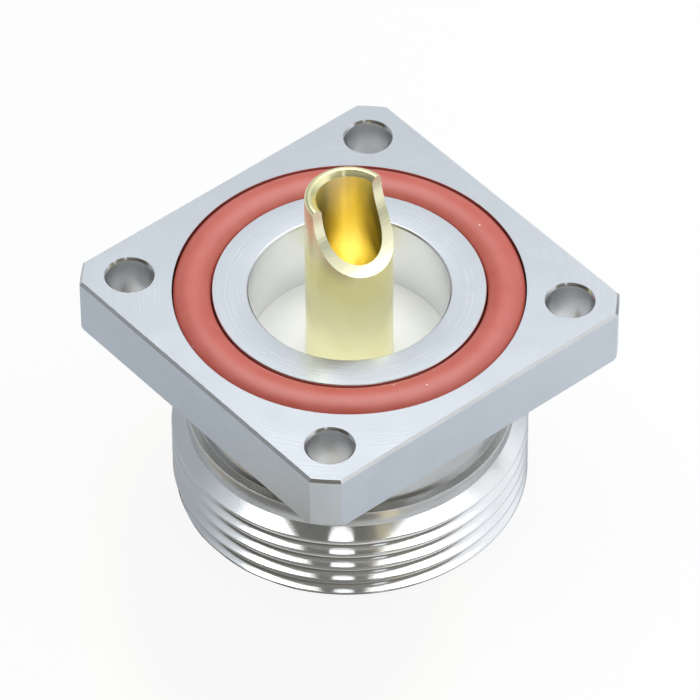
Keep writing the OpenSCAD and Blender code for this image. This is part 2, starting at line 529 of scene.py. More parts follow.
class Skin:
    """Collects points and faces in millimetres, then makes one mesh of them."""

    def __init__(self, segments: int) -> None:
        """Starts empty.

        Args:
            segments: Points in a ring round the axis.
        """
        self.segments = segments
        self.points: list[tuple[float, float, float]] = []
        self.faces: list[tuple[int, ...]] = []
        self.finishes: list[int] = []

    def loop(self, points: Sequence[tuple[float, float, float]]) -> Loop:
        """Adds points.

        Args:
            points: The points in order.

        Returns:
            Their numbers.
        """
        first = len(self.points)
        self.points.extend(points)
        return list(range(first, len(self.points)))

    def ring(
        self,
        r: float,
        z: float,
        centre: tuple[float, float] = (0.0, 0.0),
        count: int | None = None,
    ) -> Loop:
        """Adds a level circle of points.

        Args:
            r: Its radius.
            z: Its height.
            centre: Its centre in X and Y.
            count: Its number of points, where that isn't the skin's own.

        Returns:
            The numbers of its points.
        """
        n = count or self.segments
        angles = [TURN * k / n for k in range(n)]
        return self.loop([(centre[0] + r * math.cos(a), centre[1] + r * math.sin(a), z) for a in angles])

    def face(self, corners: tuple[int, ...], finish: int) -> None:
        """Adds one face."""
        self.faces.append(corners)
        self.finishes.append(finish)

    def strip(self, low: Loop, high: Loop, finish: int) -> None:
        """Joins two closed loops by four-cornered faces.

        Args:
            low: The first loop.
            high: The second loop, of the same length.
            finish: The finish of the faces.
        """
        n = len(low)
        for k in range(n):
            self.face((low[k], low[(k + 1) % n], high[(k + 1) % n], high[k]), finish)

    def fan(self, loop: Loop, z: float, finish: int) -> None:
        """Closes a ring with a point on the axis.

        Args:
            loop: The ring.
            z: The height of the point.
            finish: The finish of the faces.
        """
        pole = self.loop([(0.0, 0.0, z)])[0]
        n = len(loop)
        for k in range(n):
            self.face((loop[k], loop[(k + 1) % n], pole), finish)

    def lathe(
        self,
        profile: Sequence[tuple[float, float]],
        finish: Callable[[float, float], int],
    ) -> tuple[Loop, Loop]:
        """Turns a profile round the axis.

        Args:
            profile: Points of radius and height.
            finish: Gives the finish of a face from the middle of its profile line.

        Returns:
            The first and the last ring.
        """
        rings = [self.ring(r, z) for r, z in profile]
        for a, b, ra, rb in zip(profile, profile[1:], rings, rings[1:]):
            self.strip(ra, rb, finish((a[0] + b[0]) / 2, (a[1] + b[1]) / 2))
        return rings[0], rings[-1]

    def fill(self, loops: Sequence[Loop], keep: Callable[[float, float], bool], finish: int) -> None:
        """Fills the flat space between loops that lie at one height.

        Args:
            loops: The outer loop and the holes.
            keep: Tells whether a place belongs to the flat.
            finish: The finish of its faces.
        """
        numbers = [i for loop in loops for i in loop]
        places = [Vector(self.points[i][:2]) for i in numbers]
        edges: list[tuple[int, int]] = []
        first = 0
        for loop in loops:
            n = len(loop)
            edges.extend((first + k, first + (k + 1) % n) for k in range(n))
            first += n
        inside = 1
        closeness = 1e-6
        _, _, triangles, sources, _, _ = delaunay_2d_cdt(places, edges, [], inside, closeness)
        for triangle in triangles:
            corners = [sources[i][0] for i in triangle]
            middle = sum((places[c] for c in corners), Vector((0.0, 0.0))) / 3.0
            if keep(middle.x, middle.y):
                self.face(tuple(numbers[c] for c in corners), finish)

    def mesh(self, name: str) -> bpy.types.Mesh:
        """Makes the mesh.

        Args:
            name: The mesh's name.

        Returns:
            The mesh in metres, with the finishes of its faces.
        """
        mesh = bpy.data.meshes.new(name)
        mesh.from_pydata([(x * MM, y * MM, z * MM) for x, y, z in self.points], [], self.faces)
        mesh.polygons.foreach_set("material_index", self.finishes)
        return mesh


def closed(meshes: Sequence[bpy.types.Mesh], name: str) -> bpy.types.Mesh:
    """Joins meshes along the rings that they share.

    Args:
        meshes: Meshes whose edges meet.
        name: The name of the joined mesh.

    Returns:
        One mesh with its doubles merged, its faces outward and its shading smooth.
    """
    bm = bmesh.new()
    for mesh in meshes:
        bm.from_mesh(mesh)
    bmesh.ops.remove_doubles(bm, verts=bm.verts, dist=MERGE * MM)
    bmesh.ops.dissolve_degenerate(bm, edges=bm.edges, dist=SLIVER * MM)
    bmesh.ops.recalc_face_normals(bm, faces=bm.faces)
    joined = bpy.data.meshes.new(name)
    bm.to_mesh(joined)
    bm.free()
    joined.polygons.foreach_set("use_smooth", [True] * len(joined.polygons))
    return joined


def crease(mesh: bpy.types.Mesh, spare: int | None = None) -> None:
    """Marks the edges that stay crisp.

    Args:
        mesh: The mesh to mark.
        spare: A finish whose own faces are left smooth against each other.
    """
    bm = bmesh.new()
    bm.from_mesh(mesh)
    limit = math.radians(CRISP)
    for edge in bm.edges:
        inside = all(face.material_index == spare for face in edge.link_faces)
        edge.smooth = inside or len(edge.link_faces) != 2 or edge.calc_face_angle(0.0) < limit
    bm.to_mesh(mesh)
    bm.free()


def piece(mesh: bpy.types.Mesh, name: str, materials: Sequence[bpy.types.Material]) -> bpy.types.Object:
    """Makes an object of a mesh and links it to the scene.

    Args:
        mesh: The mesh.
        name: The object's name.
        materials: Its finishes, in the order of their numbers.

    Returns:
        The object, at the origin.
    """
    obj = bpy.data.objects.new(name, mesh)
    for material in materials:
        mesh.materials.append(material)
    bpy.context.scene.collection.objects.link(obj)
    return obj


class Rule(Sheet):
    """A Geometry Nodes tree with named inputs."""

    def __init__(self, name: str, inputs: dict[str, tuple[str, Any]]) -> None:
        """Makes the tree and its sockets.

        Args:
            name: The tree's name.
            inputs: For each input its socket type and its value.
        """
        tree = bpy.data.node_groups.new(name, "GeometryNodeTree")
        super().__init__(tree)
        tree.interface.new_socket("Geometry", in_out="OUTPUT", socket_type="NodeSocketGeometry")
        tree.interface.new_socket("Geometry", in_out="INPUT", socket_type="NodeSocketGeometry")
        self.values: dict[str, Any] = {}
        for label, (kind, value) in inputs.items():
            socket = tree.interface.new_socket(label, in_out="INPUT", socket_type=kind)
            self.values[socket.identifier] = value
        self._group = self.node("NodeGroupInput")

    def given(self, label: str) -> Field:
        """One of the tree's inputs."""
        return self._group.other(label)

    def end(self, geometry: Field, material: Field, selection: Field | None = None) -> None:
        """Ends the tree in Realize Instances and Set Material.

        Args:
            geometry: What the tree has made.
            material: The finish to set.
            selection: The faces that get it, where that isn't all of them.
        """
        real = self.node("GeometryNodeRealizeInstances", {}, {0: geometry})
        inputs = {"Geometry": real, "Material": material}
        if selection is not None:
            inputs["Selection"] = selection
        dressed = self.node("GeometryNodeSetMaterial", {}, inputs)
        self.node("NodeGroupOutput", {}, {0: dressed})

    def made(self, base: bpy.types.Mesh, name: str) -> bpy.types.Mesh:
        """Runs the tree on a mesh.

        Args:
            base: The mesh to start from.
            name: The name of the result.

        Returns:
            A plain mesh.
        """
        holder = bpy.data.objects.new(name + "_rule", base)
        bpy.context.scene.collection.objects.link(holder)
        modifier = holder.modifiers.new(name, "NODES")
        modifier.node_group = self.tree
        for identifier, value in self.values.items():
            modifier[identifier] = value
        graph = bpy.context.evaluated_depsgraph_get()
        mesh = bpy.data.meshes.new_from_object(holder.evaluated_get(graph), depsgraph=graph)
        mesh.name = name
        holder.modifiers.remove(modifier)
        bpy.data.objects.remove(holder)
        return mesh


@dataclass
class CouplingThread:
    """The right-hand coupling thread with round roots, open to the relief behind and chamfered in front.

    It is wound from lead_turns below the mating end, and what lies past either end is pressed flat on it.
    """

    pitch: float = 1.5
    crest_r: float = 14.425
    root_round: float = 0.5
    crest_flat: float = 0.06
    flank: float = 30.0
    upper_z: float = -12.4
    relief_r: float = 13.25
    last_turn: float = 5.139
    fade: float = 0.1
    lower_z: float = -20.6
    front_r: float = 13.65
    front_rise: float = 0.32
    phase: float = 0.126
    lead_turns: float = 2.0
    edge_ease: float = 0.03
    seam: float = 0.0008
    rows: int = 28

    def build(self, segments: int, material: bpy.types.Material) -> bpy.types.Mesh:
        """Winds the thread.

        Args:
            segments: Steps in one turn, the same as in the rings that the thread meets.
            material: Its finish.

        Returns:
            The threaded surface, open at its two end rings.
        """
        whole = (self.upper_z - self.lower_z) / self.pitch + self.lead_turns
        turns = math.ceil(whole * segments) / segments
        number = "NodeSocketFloat"
        rule = Rule("coupling_thread", {
            "Pitch": (number, self.pitch * MM),
            "Crest Radius": (number, self.crest_r * MM),
            "Root Round": (number, self.root_round * MM),
            "Crest Flat": (number, self.crest_flat * MM),
            "Flank Angle": (number, math.radians(self.flank)),
            "Upper Z": (number, self.upper_z * MM),
            "Relief Radius": (number, self.relief_r * MM),
            "Last Turn": (number, self.last_turn),
            "Fade": (number, self.fade),
            "Lower Z": (number, self.lower_z * MM),
            "Front Radius": (number, self.front_r * MM),
            "Front Rise": (number, self.front_rise * MM),
            "Phase": (number, self.phase),
            "Edge Ease": (number, self.edge_ease * MM),
            "Turns": (number, turns),
            "Columns": ("NodeSocketInt", round(turns * segments) + 1),
            "Rows": ("NodeSocketInt", self.rows + 1),
            "Finish": ("NodeSocketMaterial", material),
        })
        of = rule.given
        grid = rule.node("GeometryNodeMeshGrid", {}, {
            "Size X": 1.0, "Size Y": 1.0, "Vertices X": of("Columns"), "Vertices Y": of("Rows"),
        })
        place = rule.node("ShaderNodeSeparateXYZ", {}, {0: rule.node("GeometryNodeInputPosition")})
        along = (place + 0.5) * of("Turns")
        across = place.other(1) + 0.5
        level = of("Lower Z") + of("Pitch") * (along + across - self.lead_turns + of("Phase"))
        z = level.most(of("Lower Z")).least(of("Upper Z"))
        off_crest = abs(across - 0.5) * of("Pitch")
        off_root = of("Pitch") * 0.5 - off_crest
        slope = of("Flank Angle").tan()
        wall = of("Crest Radius") - (off_crest - of("Crest Flat") * 0.5) / slope
        reach = of("Root Round") * of("Flank Angle").cos()
        deep = (of("Pitch") * 0.5 - of("Crest Flat") * 0.5 - reach) / slope
        centre = of("Crest Radius") - deep + of("Root Round") * of("Flank Angle").sin()
        hollow = centre - (of("Root Round") * of("Root Round") - off_root * off_root).most(0.0).sqrt()
        in_root = off_root < reach
        vee = hollow * in_root + wall * (1.0 - in_root)
        past = ((along - of("Last Turn")) / of("Fade") * 0.5 + 0.5).most(0.0).least(1.0) * (across > 0.5)
        gone = ((along - of("Last Turn") - 1.0) / of("Fade") * 0.5 + 0.5).most(0.0).least(1.0)
        bared = vee + (wall.most(of("Relief Radius")) - vee) * past
        turned = bared + (of("Relief Radius") - bared) * gone
        climb = (z - of("Lower Z")) * (of("Crest Radius") - of("Front Radius"))
        lead = of("Front Radius") + climb / of("Front Rise")
        r = turned.eased_least(of("Crest Radius"), of("Edge Ease")).least(lead)
        angle = along * TURN
        spot = rule.vector({0: r * angle.cos(), 1: r * angle.sin(), 2: z})
        wound = rule.node("GeometryNodeSetPosition", {}, {"Geometry": grid, "Position": spot})
        joined = rule.node("GeometryNodeMergeByDistance", {}, {"Geometry": wound, "Distance": self.seam * MM})
        rule.end(joined, of("Finish"))
        return rule.made(bpy.data.meshes.new("thread_blank"), "coupling_thread")


class BodyFinish(IntEnum):
    """The places of the body's finishes in its list of materials."""

    FACE = 0
    SIDE = 1
    EDGE = 2
    BARREL = 3
    BORE = 4
    THREAD = 5
    HOLE = 6
    UNDER = 7


BODY_PLATINGS: dict[BodyFinish, Plating] = {
    BodyFinish.FACE: Plating(
        "faced_plating", (0.735, 0.768, 0.805), (0.71, 0.743, 0.78),
        roughness=0.24, lay=Lay.FACED, pitch=0.34, depth=0.0007, lean=0.010,
    ),
    # Painted shade: the sides have the face's plating, drawn in a darker colour for the shade that they show
    BodyFinish.SIDE: Plating(
        "milled_plating_painted_shade", (0.56, 0.602, 0.654), (0.53, 0.572, 0.618),
        roughness=0.30, lay=Lay.MILLED, pitch=0.11, depth=0.002,
    ),
    BodyFinish.EDGE: Plating(
        "edge_plating", (0.70, 0.705, 0.715), (0.62, 0.62, 0.62),
        roughness=0.16, lay=Lay.TURNED, pitch=0.10, depth=0.001,
    ),
    BodyFinish.BARREL: Plating(
        "turned_plating", (0.65, 0.655, 0.655), (0.58, 0.58, 0.575),
        roughness=0.20, lay=Lay.TURNED, pitch=0.09, depth=0.0012,
    ),
    BodyFinish.BORE: Plating(
        "bored_plating", (0.84, 0.85, 0.865), (0.80, 0.81, 0.82),
        roughness=0.22, lay=Lay.TURNED, pitch=0.12, depth=0.0015,
    ),
    BodyFinish.THREAD: Plating(
        "thread_plating", (0.88, 0.89, 0.90), (0.82, 0.83, 0.84),
        roughness=0.13, lay=Lay.TURNED, pitch=0.07, depth=0.0002, stretch=0.9,
    ),
    BodyFinish.HOLE: Plating(
        "reamed_plating", (0.80, 0.81, 0.82), (0.72, 0.72, 0.72),
        roughness=0.32, lay=Lay.REAMED, pitch=0.5, depth=0.004,
    ),
    BodyFinish.UNDER: Plating(
        "under_plating", (0.64, 0.64, 0.62), (0.59, 0.585, 0.56),
        roughness=0.16, lay=Lay.FACED, pitch=0.30, depth=0.001,
    ),
}
TURNED_GOLD = Plating(
    "pale_gold", (0.985, 0.94, 0.575), (0.95, 0.885, 0.485),
    roughness=0.22, lay=Lay.TURNED, pitch=0.12, depth=0.0006, stretch=0.8,
)
CUT_GOLD = Plating(
    "cut_gold", (0.97, 0.95, 0.69), (0.92, 0.88, 0.57),
    roughness=0.28, lay=Lay.SCOOPED, pitch=0.16, depth=0.004,
)


@dataclass
class Body:
    """The plated body: square flange with a seal groove, barrel, bores and coupling thread."""

    half: float = 16.0
    thick: float = 5.0
    corner_r: float = 16.0 * math.sqrt(2.0) - 1.2
    corner_chamfer: float = 0.2
    face_chamfer: float = 0.22
    edge_wobble: float = 0.03
    side_points: int = 64
    corner_points: int = 16
    hole_half: float = 12.4
    hole_r: float = 1.8
    hole_break: float = 0.22
    break_ease: float = 0.03
    break_blend: float = 0.04
    hole_segments: int = 72
    groove_in_r: float = 10.896
    groove_out_r: float = 14.096
    groove_depth: float = 2.45
    groove_break: float = 0.05
    groove_ease: float = 0.15
    neck_r: float = 12.5
    neck_z: float = -12.0
    neck_fillet: float = 0.25
    neck_ease: float = 0.12
    relief_ease: float = 0.10
    bare_margin: float = 0.01
    bore_r: float = 8.0
    bore_break: float = 0.15
    bore_ease: float = 0.04
    mouth_ease: float = 0.03
    bead_low_z: float = -12.5
    lip_r: float = 7.5
    lip_z: float = -15.0
    lip_ease: float = 0.10
    seat_ease: float = 0.05
    front_bore_r: float = 9.5
    front_lead: float = 1.2
    front_ease: float = 0.06
    segments: int = 288

    @staticmethod
    def _uneven(y: float) -> float:
        """Unevenness of an edge that was broken by hand, from -1 to 1, made of waves along it."""
        swell = math.sin(2.3 * y) * math.sin(0.9 * y + 1.0)
        return (swell + 0.6 * math.sin(7.1 * y + 2.0)) / 1.6

    def outline(self, skin: Skin, inset: float, corner: float, z: float, wobble: float = 0.0) -> Loop:
        """Adds the flange's outline at one height.

        Args:
            skin: Where the points go.
            inset: Distance inside the flange sides.
            corner: Radius of the turned corners.
            z: The height.
            wobble: Largest unevenness of the sides.

        Returns:
            The numbers of its points.
        """
        half = self.half - inset
        reach = math.sqrt(corner ** 2 - half ** 2)
        start = math.atan2(reach, half)
        quarter: list[tuple[float, float]] = []
        for k in range(self.side_points):
            y = reach * (2.0 * k / self.side_points - 1.0)
            quarter.append((half - abs(wobble * self._uneven(y)), y))
        for k in range(self.corner_points):
            angle = start + (math.pi / 2.0 - 2.0 * start) * k / self.corner_points
            quarter.append((corner * math.cos(angle), corner * math.sin(angle)))
        points: list[tuple[float, float, float]] = []
        for turn in range(4):
            for x, y in quarter:
                for _ in range(turn):
                    x, y = -y, x
                points.append((x, y, z))
        return skin.loop(points)

    def _near_hole(self, x: float, y: float, r: float) -> bool:
        """Whether a place lies in one of the mounting holes."""
        return math.hypot(abs(x) - self.hole_half, abs(y) - self.hole_half) < r

    def _hole(self, skin: Skin, centre: tuple[float, float]) -> tuple[Loop, Loop]:
        """Drills one mounting hole and breaks its upper edge.

        Args:
            skin: Where the faces go.
            centre: The hole's centre in X and Y.

        Returns:
            Its upper and its lower ring.
        """
        levels = [
            (self.hole_r + self.hole_break, 0.0),
            (self.hole_r + self.break_ease, -self.hole_break + self.break_ease),
            (self.hole_r, -self.hole_break - self.break_blend),
            (self.hole_r, -self.thick),
        ]
        drill = [skin.ring(r, z, centre, self.hole_segments) for r, z in levels]
        skin.strip(drill[0], drill[1], BodyFinish.EDGE)
        for a, b in zip(drill[1:], drill[2:]):
            skin.strip(a, b, BodyFinish.HOLE)
        return drill[0], drill[-1]

    def _flange(self, skin: Skin) -> None:
        """Makes the flange's flat faces, sides and mounting holes.

        Args:
            skin: Where the faces go.
        """
        chamfer, corner, bevel = self.face_chamfer, self.corner_r, self.corner_chamfer
        under = -self.thick
        top = self.outline(skin, chamfer, corner - chamfer, 0.0, self.edge_wobble)
        levels = [
            (corner, -chamfer),
            (corner, under + bevel),
            (corner - bevel / 2.0, under + bevel / 2.0),
            (corner - bevel, under),
        ]
        rows = [self.outline(skin, 0.0, r, z) for r, z in levels]
        skin.strip(top, rows[0], BodyFinish.EDGE)
        for a, b in zip(rows, rows[1:]):
            skin.strip(a, b, BodyFinish.SIDE)
        places = [(sx * self.hole_half, sy * self.hole_half) for sx in (-1.0, 1.0) for sy in (-1.0, 1.0)]
        holes = [self._hole(skin, place) for place in places]
        groove = skin.ring(self.groove_out_r, 0.0)
        neck_r = self.neck_r + self.neck_fillet
        neck = skin.ring(neck_r, under)
        wide = self.hole_r + self.hole_break
        skin.fill(
            [top, groove, *(upper for upper, _ in holes)],
            lambda x, y: math.hypot(x, y) > self.groove_out_r and not self._near_hole(x, y, wide),
            BodyFinish.FACE,
        )
        skin.fill(
            [rows[-1], neck, *(lower for _, lower in holes)],
            lambda x, y: math.hypot(x, y) > neck_r and not self._near_hole(x, y, self.hole_r),
            BodyFinish.UNDER,
        )

    def _barrel(self, skin: Skin, thread: CouplingThread) -> None:
        """Turns the neck and the relief behind the thread.

        Args:
            skin: Where the faces go.
            thread: The thread that goes on the barrel.
        """
        profile = eased([
            Corner(self.neck_r + self.neck_fillet, -self.thick),
            Corner(self.neck_r, -self.thick, self.neck_fillet),
            Corner(self.neck_r, self.neck_z, self.neck_ease),
            Corner(thread.relief_r, self.neck_z, self.relief_ease),
            Corner(thread.relief_r, thread.upper_z),
        ])
        skin.lathe(profile, lambda r, z: BodyFinish.BARREL)

    def _inside(self, skin: Skin, thread: CouplingThread) -> None:
        """Turns the mating end, the bores, the ring inside the seal and the seal's groove.

        Args:
            skin: Where the faces go.
            thread: The thread that goes on the barrel.
        """
        front_z = thread.lower_z
        profile = eased([
            Corner(thread.front_r, front_z),
            Corner(self.front_bore_r + self.front_lead, front_z, self.front_ease),
            Corner(self.front_bore_r, front_z + self.front_lead, self.front_ease),
            Corner(self.front_bore_r, self.lip_z, self.lip_ease),
            Corner(self.lip_r, self.lip_z, self.lip_ease),
            Corner(self.lip_r, self.bead_low_z, self.seat_ease),
            Corner(self.bore_r, self.bead_low_z, self.seat_ease),
            Corner(self.bore_r, -self.bore_break, self.bore_ease),
            Corner(self.bore_r + self.bore_break, 0.0, self.mouth_ease),
            Corner(self.groove_in_r - self.groove_break, 0.0),
            Corner(self.groove_in_r, -self.groove_break),
            Corner(self.groove_in_r, -self.groove_depth, self.groove_ease),
            Corner(self.groove_out_r, -self.groove_depth, self.groove_ease),
            Corner(self.groove_out_r, 0.0),
        ])
        skin.lathe(profile, lambda r, z: BodyFinish.FACE if z > -HAIR else BodyFinish.BORE)

    def build(self, thread: CouplingThread, materials: Sequence[bpy.types.Material]) -> bpy.types.Object:
        """Makes the whole body.

        Args:
            thread: The thread that goes on the barrel.
            materials: The finishes in the order of BodyFinish.

        Returns:
            The body as one piece.
        """
        skin = Skin(self.segments)
        self._flange(skin)
        self._barrel(skin, thread)
        self._inside(skin, thread)
        wound = thread.build(self.segments, materials[BodyFinish.THREAD])
        bare = (thread.relief_r + self.bare_margin) * MM
        wound.polygons.foreach_set("material_index", [
            BodyFinish.BARREL if face.center.xy.length < bare else BodyFinish.THREAD
            for face in wound.polygons
        ])
        mesh = closed([skin.mesh("body_skin"), wound], "jack_body")
        crease(mesh, BodyFinish.THREAD)
        return piece(mesh, "jack_body", materials)


@dataclass
class FlangeGasket:
    """The ring seal that lies in the groove of the flange face."""

    mid_r: float = 12.496
    cord: float = 3.0
    crown: float = 1.8
    proud: float = 0.55
    squash: float = 0.05
    seat: float = 0.45
    ease: float = 0.35
    crown_steps: int = 8
    segments: int = 288

    def build(self, material: bpy.types.Material) -> bpy.types.Object:
        """Makes the ring.

        Args:
            material: Its rubber.

        Returns:
            The ring as one piece.
        """
        skin = Skin(self.segments)
        half = self.cord / 2.0
        floor = self.proud - self.cord + self.squash
        shoulder = self.proud - self.crown + math.sqrt(self.crown ** 2 - half ** 2)
        heel = 2.0 * self.proud - self.cord - shoulder
        corners = [
            Corner(self.mid_r, floor),
            Corner(self.mid_r + self.seat, floor),
            Corner(self.mid_r + half, heel, self.ease),
        ]
        last = 2 * self.crown_steps
        for k in range(last + 1):
            x = half * (1.0 - k / self.crown_steps)
            z = self.proud - self.crown + math.sqrt(self.crown ** 2 - x ** 2)
            corners.append(Corner(self.mid_r + x, z, self.ease if k in (0, last) else 0.0))
        corners += [
            Corner(self.mid_r - half, heel, self.ease),
            Corner(self.mid_r - self.seat, floor),
            Corner(self.mid_r, floor),
        ]
        skin.lathe(eased(corners), lambda r, z: 0)
        mesh = closed([skin.mesh("seal_skin")], "face_seal")
        return piece(mesh, "face_seal", [material])


@dataclass
class Insulator:
    """The white bead that holds the contact in the bore."""

    outer_r: float = 8.0
    inner_r: float = 3.5
    ring_r: float = 4.0
    ring_l: float = 1.2
    top_z: float = -6.5
    low_z: float = -12.5
    fit: float = 0.005
    seam_drop: float = 0.3
    top_ease: float = 0.02
    outer_ease: float = 0.12
    inner_ease: float = 0.08
    segments: int = 216

    def build(self, material: bpy.types.Material) -> bpy.types.Object:
        """Makes the bead.

        Args:
            material: Its plastic.

        Returns:
            The bead as one piece.
        """
        skin = Skin(self.segments)
        inner_r = self.inner_r + self.fit
        outer_r = self.outer_r - self.fit
        ring_r = self.ring_r + self.fit
        middle = (self.top_z + self.low_z) / 2.0
        reach = self.ring_l / 2.0 + self.fit
        profile = eased([
            Corner(inner_r, self.top_z - self.seam_drop),
            Corner(inner_r, self.top_z, self.top_ease),
            Corner(outer_r, self.top_z, self.top_ease),
            Corner(outer_r, self.low_z, self.outer_ease),
            Corner(inner_r, self.low_z, self.inner_ease),
            Corner(inner_r, middle - reach),
            Corner(ring_r, middle - reach),
            Corner(ring_r, middle + reach),
            Corner(inner_r, middle + reach),
            Corner(inner_r, self.top_z - self.seam_drop),
        ])
        skin.lathe(profile, lambda r, z: 0)
        mesh = closed([skin.mesh("bead_skin")], "bore_bead")
        crease(mesh)
        return piece(mesh, "bore_bead", [material])


@dataclass
class CentreContact:
    """The gold-plated contact: solder cup, stem, holding ring and slotted socket."""

    cup_r: float = 3.5
    cup_bore_r: float = 2.6
    cup_h: float = 10.1
    cup_floor_z: float = -0.4
    cup_break: float = 0.2
    cup_lead: float = 0.4
    cup_ease: float = 0.12
    mouth_ease: float = 0.08
    lead_ease: float = 0.03
    floor_ease: float = 0.1
    drill_slope: float = 0.6
    drill_web_r: float = 0.4
    drill_margin: float = 0.02
    scoop_r: float = 6.5
    scoop_past: float = 0.25
    scoop_steps: int = 288
    bead_low_z: float = -12.5
    ring_mid_z: float = -9.5
    ring_r: float = 4.0
    ring_l: float = 1.2
    ring_ease: float = 0.05
    socket_r: float = 4.325
    socket_bore_r: float = 3.525
    socket_lead: float = 0.35
    socket_ease: float = 0.05
    tip_z: float = -18.6
    tip_ease: float = 0.04
    pin_floor_z: float = -13.3
    slots: int = 4
    slot_w: float = 0.5
    overshoot: float = 1.0
    ease_steps: int = 3
    segments: int = 216

    def _blank(self) -> bpy.types.Mesh:
        """Turns the contact before its scoop and slots are cut.

        Returns:
            The closed blank, with the drilled surfaces as its second finish.
        """
        skin = Skin(self.segments)
        lead = self.socket_lead
        low = self.ring_mid_z - self.ring_l / 2.0
        high = self.ring_mid_z + self.ring_l / 2.0
        web_z = self.cup_floor_z - self.drill_slope * (self.cup_bore_r - self.drill_web_r)
        profile = eased([
            Corner(self.socket_bore_r, self.pin_floor_z),
            Corner(self.socket_bore_r, self.tip_z + lead, self.socket_ease),
            Corner(self.socket_bore_r + lead, self.tip_z, self.tip_ease),
            Corner(self.socket_r - lead, self.tip_z, self.tip_ease),
            Corner(self.socket_r, self.tip_z + lead, self.socket_ease),
            Corner(self.socket_r, self.bead_low_z, self.socket_ease),
            Corner(self.cup_r, self.bead_low_z),
            Corner(self.cup_r, low),
            Corner(self.ring_r, low, self.ring_ease),
            Corner(self.ring_r, high, self.ring_ease),
            Corner(self.cup_r, high),
            Corner(self.cup_r, self.cup_h - self.cup_break, self.cup_ease),
            Corner(self.cup_r - self.cup_break, self.cup_h, self.mouth_ease),
            Corner(self.cup_bore_r + self.cup_lead, self.cup_h, self.lead_ease),
            Corner(self.cup_bore_r, self.cup_h - self.cup_lead, self.lead_ease),
            Corner(self.cup_bore_r, self.cup_floor_z, self.floor_ease),
            Corner(self.drill_web_r, web_z),
        ], self.ease_steps)
        first, last = skin.lathe(profile, lambda r, z: int(r < self.cup_bore_r + self.drill_margin))
        skin.fan(first, self.pin_floor_z, 1)
        skin.fan(last, self.cup_floor_z - self.drill_slope * self.cup_bore_r, 1)
        return closed([skin.mesh("contact_skin")], "contact_blank")

    def build(
        self,
        turned: bpy.types.Material,
        drilled: bpy.types.Material,
        milled: bpy.types.Material,
    ) -> bpy.types.Object:
        """Cuts the scoop and the slots into the turned blank.

        Args:
            turned: The finish of the turned surfaces.
            drilled: The finish inside the cup.
            milled: The finish of the cut surfaces.

        Returns:
            The contact as one piece.
        """
        blank = self._blank()
        blank.materials.append(turned)
        blank.materials.append(drilled)
        number = "NodeSocketFloat"
        slot_end_z = self.tip_z - self.overshoot
        rule = Rule("contact_cuts", {
            "Scoop Radius": (number, self.scoop_r * MM),
            "Scoop Y": (number, (self.scoop_past - self.scoop_r) * MM),
            "Scoop Z": (number, self.cup_h * MM),
            "Scoop Length": (number, 2.0 * (self.cup_r + self.overshoot) * MM),
            "Slots": ("NodeSocketInt", self.slots),
            "Slot Width": (number, self.slot_w * MM),
            "Slot Reach": (number, (self.socket_r + self.overshoot) * MM),
            "Slot Height": (number, (self.pin_floor_z - slot_end_z) * MM),
            "Slot Middle": (number, (self.pin_floor_z + slot_end_z) / 2.0 * MM),
            "Turned": ("NodeSocketMaterial", turned),
            "Milled": ("NodeSocketMaterial", milled),
        })
        of = rule.given
        roller = rule.node("GeometryNodeMeshCylinder", {"fill_type": "NGON"}, {
            "Vertices": self.scoop_steps, "Radius": of("Scoop Radius"), "Depth": of("Scoop Length"),
        })
        at = rule.vector({1: of("Scoop Y"), 2: of("Scoop Z")})
        scoop = rule.node("GeometryNodeTransform", {}, {
            "Geometry": roller, "Translation": at, "Rotation": (0.0, math.pi / 2.0, 0.0),
        })
        size = rule.vector({0: of("Slot Reach"), 1: of("Slot Width"), 2: of("Slot Height")})
        blade = rule.node("GeometryNodeMeshCube", {}, {"Size": size})
        reach = rule.vector({0: of("Slot Reach") * 0.5, 2: of("Slot Middle")})
        blade = rule.node("GeometryNodeTransform", {}, {"Geometry": blade, "Translation": reach})
        axis = rule.node("GeometryNodePoints", {}, {"Count": of("Slots")})
        index = rule.node("GeometryNodeInputIndex")
        swing = rule.vector({2: (index + 0.5) * TURN / of("Slots")})
        spin = rule.node("FunctionNodeEulerToRotation", {}, {0: swing})
        blades = rule.node("GeometryNodeInstanceOnPoints", {}, {
            "Points": axis, "Instance": blade, "Rotation": spin,
        })
        cutters = rule.node("GeometryNodeJoinGeometry", {}, {0: [scoop, blades]})
        cutters = rule.node("GeometryNodeRealizeInstances", {}, {0: cutters})
        cutters = rule.node("GeometryNodeSetMaterial", {}, {"Geometry": cutters, "Material": of("Milled")})
        cut = rule.node(
            "GeometryNodeMeshBoolean",
            {"operation": "DIFFERENCE", "solver": "EXACT"},
            {"Mesh 1": of("Geometry"), "Mesh 2": cutters},
        )
        # The turned finish is number 0 on the blank
        is_turned = rule.node("GeometryNodeInputMaterialIndex") < 0.5
        rule.end(cut, of("Turned"), is_turned)
        mesh = closed([rule.made(blank, "contact")], "centre_pin")
        crease(mesh)
        return piece(mesh, "centre_pin", [turned, drilled, milled])


@dataclass(frozen=True)
class Lamp:
    """A soft lamp that faces down; its glow is the brightness of its face, where 1 is white."""

    name: str
    place: Way
    wide: float
    deep: float
    turn: float
    glow: float
    colour: Colour = WHITE

    def build(self) -> None:
        """Hangs the lamp over the object."""
        data = bpy.data.lights.new(self.name, "AREA")
        data.shape = "RECTANGLE"
        data.size = self.wide
        data.size_y = self.deep
        data.color = self.colour
        data.energy = self.glow * math.pi * self.wide * self.deep
        obj = bpy.data.objects.new(self.name, data)
        turn = Matrix.Rotation(math.radians(self.turn), 4, "Z")
        obj.matrix_world = Matrix.Translation(Vector(self.place)) @ turn
        bpy.context.scene.collection.objects.link(obj)


